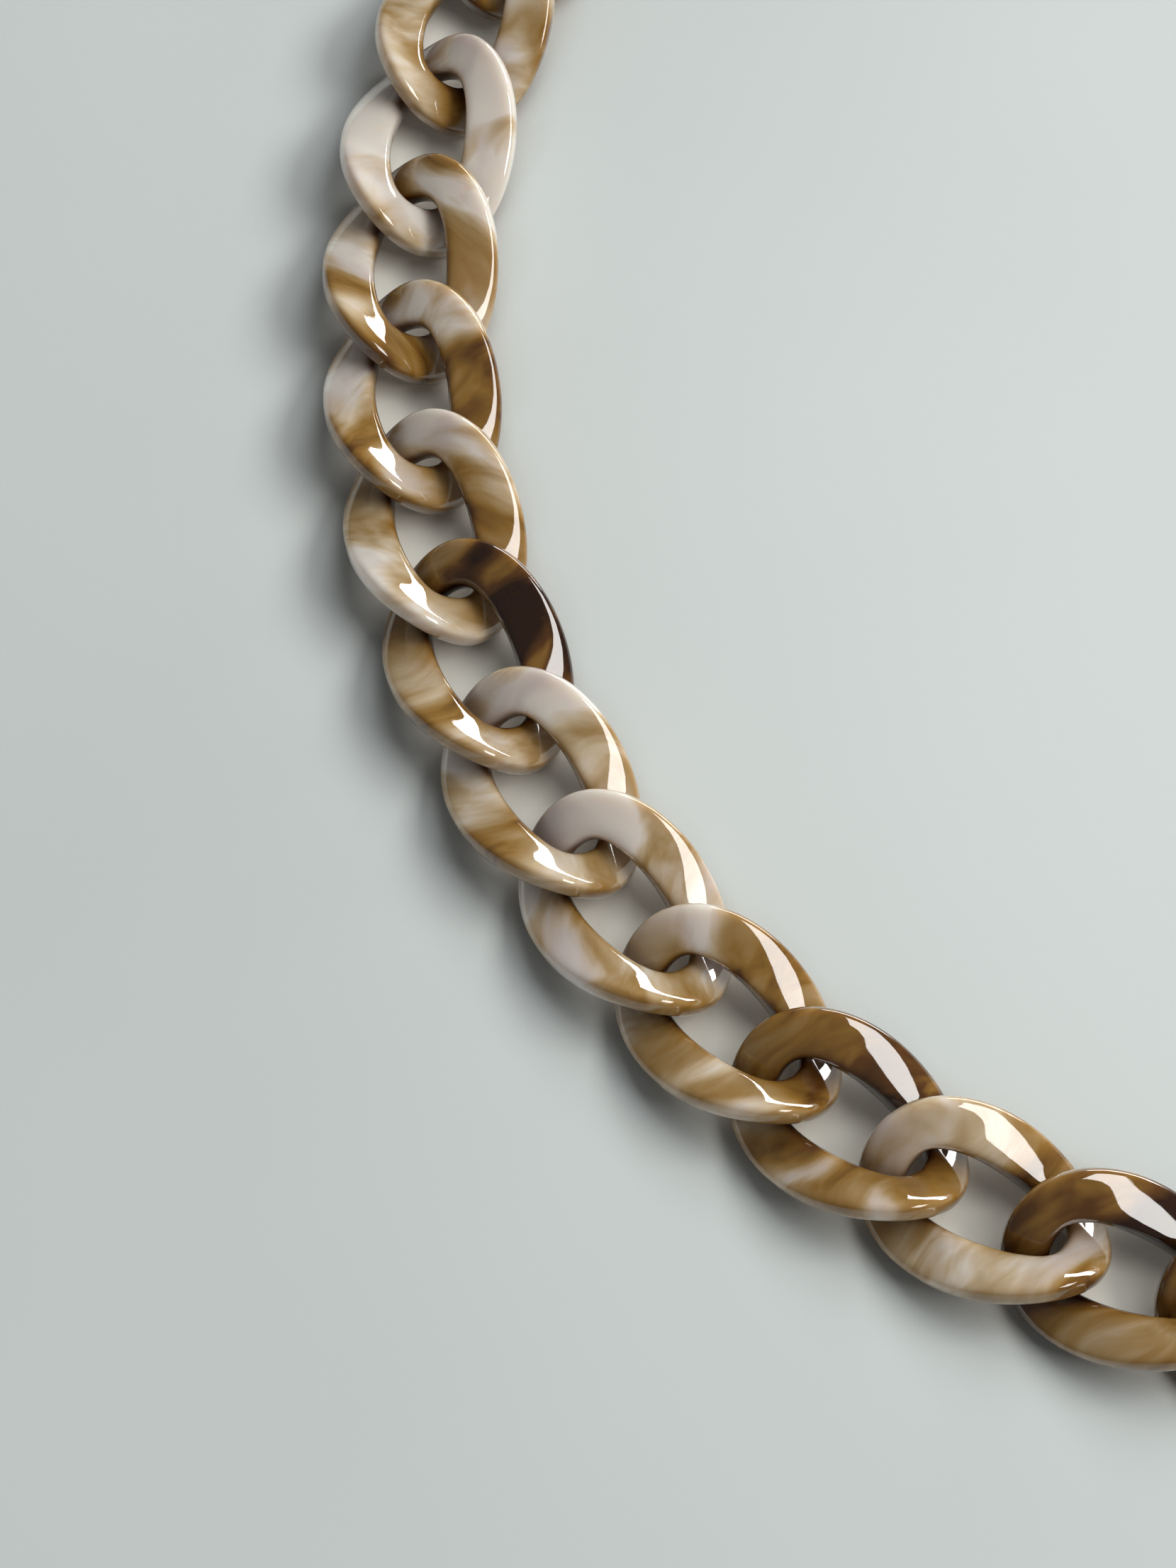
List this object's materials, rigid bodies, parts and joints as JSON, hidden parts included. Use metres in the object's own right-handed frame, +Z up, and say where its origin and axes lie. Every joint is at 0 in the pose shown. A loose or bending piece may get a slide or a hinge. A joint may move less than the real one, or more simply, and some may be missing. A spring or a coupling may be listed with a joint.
{
  "type": "chain necklace",
  "caption": "Chunky curb-chain necklace of twisted oval marbled acrylic links, laid open in an arc, with a lobster clasp and a catch ring.",
  "frame": {"origin": "centre of the laid-out necklace's footprint, on the surface that it lies on", "axes": "+Z up, +Y towards the two ends that fasten behind the neck, -Y towards the front of the necklace, +X to the right"},
  "size_m": [0.2288, 0.1866, 0.0097],
  "materials": {
    "marbled_acrylic": "polished milky cream and brown marbled acrylic, cloudy and glossy",
    "gold_plated_wire": "polished pale gold plating on drawn wire",
    "gold_plated_casting": "polished pale gold plating on a zinc casting",
    "spring_steel": "bright spring strip"
  },
  "bodies": {
    "link_01": {"link_01": "marbled_acrylic"},
    "link_02": {"link_02": "marbled_acrylic"},
    "link_03": {"link_03": "marbled_acrylic"},
    "link_04": {"link_04": "marbled_acrylic"},
    "link_05": {"link_05": "marbled_acrylic"},
    "link_06": {"link_06": "marbled_acrylic"},
    "link_07": {"link_07": "marbled_acrylic"},
    "link_08": {"link_08": "marbled_acrylic"},
    "link_09": {"link_09": "marbled_acrylic"},
    "link_10": {"link_10": "marbled_acrylic"},
    "link_11": {"link_11": "marbled_acrylic"},
    "link_12": {"link_12": "marbled_acrylic"},
    "link_13": {"link_13": "marbled_acrylic"},
    "link_14": {"link_14": "marbled_acrylic"},
    "link_15": {"link_15": "marbled_acrylic"},
    "link_16": {"link_16": "marbled_acrylic"},
    "link_17": {"link_17": "marbled_acrylic"},
    "link_18": {"link_18": "marbled_acrylic"},
    "link_19": {"link_19": "marbled_acrylic"},
    "link_20": {"link_20": "marbled_acrylic"},
    "link_21": {"link_21": "marbled_acrylic"},
    "link_22": {"link_22": "marbled_acrylic"},
    "link_23": {"link_23": "marbled_acrylic"},
    "link_24": {"link_24": "marbled_acrylic"},
    "link_25": {"link_25": "marbled_acrylic"},
    "link_26": {"link_26": "marbled_acrylic"},
    "link_27": {"link_27": "marbled_acrylic"},
    "link_28": {"link_28": "marbled_acrylic"},
    "link_29": {"link_29": "marbled_acrylic"},
    "link_30": {"link_30": "marbled_acrylic"},
    "clasp_ring": {"clasp_ring": "gold_plated_wire"},
    "clasp": {"clasp_body": "gold_plated_casting", "clasp_rivet": "gold_plated_casting", "clasp_spring": "spring_steel"},
    "clasp_lever": {"clasp_lever": "gold_plated_casting"},
    "catch_ring": {"catch_ring": "gold_plated_wire"}
  },
  "joints": [
    {"name": "lever_hinge", "type": "hinge", "parent": "clasp", "child": "clasp_lever", "pos_m": [-0.08664, 0.08413, 0.00374], "axis": [-0.149, 0.3033, 0.9412], "range_deg": [0, 27], "stiffness_Nm_per_rad": 0.004, "springref_deg": -20.05},
    {"name": "clasp_swing", "type": "hinge", "parent": "clasp_ring", "child": "clasp", "pos_m": [-0.09006, 0.07855, 0.005], "axis": [0, 0, 1], "range_deg": [-25, 25]},
    {"name": "clasp_ring_lift", "type": "hinge", "parent": "link_01", "child": "clasp_ring", "pos_m": [-0.09264, 0.0727, 0.00438], "axis": [0.7209, -0.3183, 0.6157], "range_deg": [0, 70]},
    {"name": "catch_ring_lift", "type": "hinge", "parent": "link_30", "child": "catch_ring", "pos_m": [0.09264, 0.0727, 0.00438], "axis": [0.7209, 0.3183, 0.6157], "range_deg": [0, 70]},
    {"name": "turn_15_16", "type": "hinge", "parent": "link_15", "child": "link_16", "pos_m": [0, -0.085, 0.00438], "axis": [0, 0, 1], "range_deg": [-18.85, 3.15]},
    {"name": "turn_14_15", "type": "hinge", "parent": "link_15", "child": "link_14", "pos_m": [-0.01447, -0.08401, 0.00438], "axis": [0, 0, -1], "range_deg": [-18.85, 3.15]},
    {"name": "turn_16_17", "type": "hinge", "parent": "link_16", "child": "link_17", "pos_m": [0.01447, -0.08401, 0.00438], "axis": [0, 0, 1], "range_deg": [-18.85, 3.15]},
    {"name": "turn_13_14", "type": "hinge", "parent": "link_14", "child": "link_13", "pos_m": [-0.02866, -0.08105, 0.00438], "axis": [0, 0, -1], "range_deg": [-18.85, 3.15]},
    {"name": "turn_17_18", "type": "hinge", "parent": "link_17", "child": "link_18", "pos_m": [0.02866, -0.08105, 0.00438], "axis": [0, 0, 1], "range_deg": [-18.85, 3.15]},
    {"name": "turn_12_13", "type": "hinge", "parent": "link_13", "child": "link_12", "pos_m": [-0.04232, -0.07618, 0.00438], "axis": [0, 0, -1], "range_deg": [-18.85, 3.15]},
    {"name": "turn_18_19", "type": "hinge", "parent": "link_18", "child": "link_19", "pos_m": [0.04232, -0.07618, 0.00438], "axis": [0, 0, 1], "range_deg": [-18.85, 3.15]},
    {"name": "turn_11_12", "type": "hinge", "parent": "link_12", "child": "link_11", "pos_m": [-0.05518, -0.06949, 0.00438], "axis": [0, 0, -1], "range_deg": [-18.85, 3.15]},
    {"name": "turn_19_20", "type": "hinge", "parent": "link_19", "child": "link_20", "pos_m": [0.05518, -0.06949, 0.00438], "axis": [0, 0, 1], "range_deg": [-18.85, 3.15]},
    {"name": "turn_10_11", "type": "hinge", "parent": "link_11", "child": "link_10", "pos_m": [-0.06701, -0.06111, 0.00438], "axis": [0, 0, -1], "range_deg": [-18.85, 3.15]},
    {"name": "turn_20_21", "type": "hinge", "parent": "link_20", "child": "link_21", "pos_m": [0.06701, -0.06111, 0.00438], "axis": [0, 0, 1], "range_deg": [-18.85, 3.15]},
    {"name": "turn_09_10", "type": "hinge", "parent": "link_10", "child": "link_09", "pos_m": [-0.07759, -0.05119, 0.00438], "axis": [0, 0, -1], "range_deg": [-18.85, 3.15]},
    {"name": "turn_21_22", "type": "hinge", "parent": "link_21", "child": "link_22", "pos_m": [0.07759, -0.05119, 0.00438], "axis": [0, 0, 1], "range_deg": [-18.85, 3.15]},
    {"name": "turn_08_09", "type": "hinge", "parent": "link_09", "child": "link_08", "pos_m": [-0.08671, -0.03992, 0.00438], "axis": [0, 0, -1], "range_deg": [-18.85, 3.15]},
    {"name": "turn_22_23", "type": "hinge", "parent": "link_22", "child": "link_23", "pos_m": [0.08671, -0.03992, 0.00438], "axis": [0, 0, 1], "range_deg": [-18.85, 3.15]},
    {"name": "turn_07_08", "type": "hinge", "parent": "link_08", "child": "link_07", "pos_m": [-0.0942, -0.0275, 0.00438], "axis": [0, 0, -1], "range_deg": [-18.85, 3.15]},
    {"name": "turn_23_24", "type": "hinge", "parent": "link_23", "child": "link_24", "pos_m": [0.0942, -0.0275, 0.00438], "axis": [0, 0, 1], "range_deg": [-18.85, 3.15]},
    {"name": "turn_06_07", "type": "hinge", "parent": "link_07", "child": "link_06", "pos_m": [-0.09993, -0.01418, 0.00438], "axis": [0, 0, -1], "range_deg": [-18.85, 3.15]},
    {"name": "turn_24_25", "type": "hinge", "parent": "link_24", "child": "link_25", "pos_m": [0.09993, -0.01418, 0.00438], "axis": [0, 0, 1], "range_deg": [-18.85, 3.15]},
    {"name": "turn_05_06", "type": "hinge", "parent": "link_06", "child": "link_05", "pos_m": [-0.10379, -0.00021, 0.00438], "axis": [0, 0, -1], "range_deg": [-18.85, 3.15]},
    {"name": "turn_25_26", "type": "hinge", "parent": "link_25", "child": "link_26", "pos_m": [0.10379, -0.00021, 0.00438], "axis": [0, 0, 1], "range_deg": [-18.85, 3.15]},
    {"name": "turn_04_05", "type": "hinge", "parent": "link_05", "child": "link_04", "pos_m": [-0.1057, 0.01417, 0.00438], "axis": [0, 0, -1], "range_deg": [-18.85, 3.15]},
    {"name": "turn_26_27", "type": "hinge", "parent": "link_26", "child": "link_27", "pos_m": [0.1057, 0.01417, 0.00438], "axis": [0, 0, 1], "range_deg": [-18.85, 3.15]},
    {"name": "turn_03_04", "type": "hinge", "parent": "link_04", "child": "link_03", "pos_m": [-0.10563, 0.02867, 0.00438], "axis": [0, 0, -1], "range_deg": [-18.85, 3.15]},
    {"name": "turn_27_28", "type": "hinge", "parent": "link_27", "child": "link_28", "pos_m": [0.10563, 0.02867, 0.00438], "axis": [0, 0, 1], "range_deg": [-18.85, 3.15]},
    {"name": "turn_02_03", "type": "hinge", "parent": "link_03", "child": "link_02", "pos_m": [-0.10358, 0.04302, 0.00438], "axis": [0, 0, -1], "range_deg": [-18.85, 3.15]},
    {"name": "turn_28_29", "type": "hinge", "parent": "link_28", "child": "link_29", "pos_m": [0.10358, 0.04302, 0.00438], "axis": [0, 0, 1], "range_deg": [-18.85, 3.15]},
    {"name": "turn_01_02", "type": "hinge", "parent": "link_02", "child": "link_01", "pos_m": [-0.09959, 0.05696, 0.00438], "axis": [0, 0, -1], "range_deg": [-18.85, 3.15]},
    {"name": "turn_29_30", "type": "hinge", "parent": "link_29", "child": "link_30", "pos_m": [0.09959, 0.05696, 0.00438], "axis": [0, 0, 1], "range_deg": [-18.85, 3.15]}
  ]
}
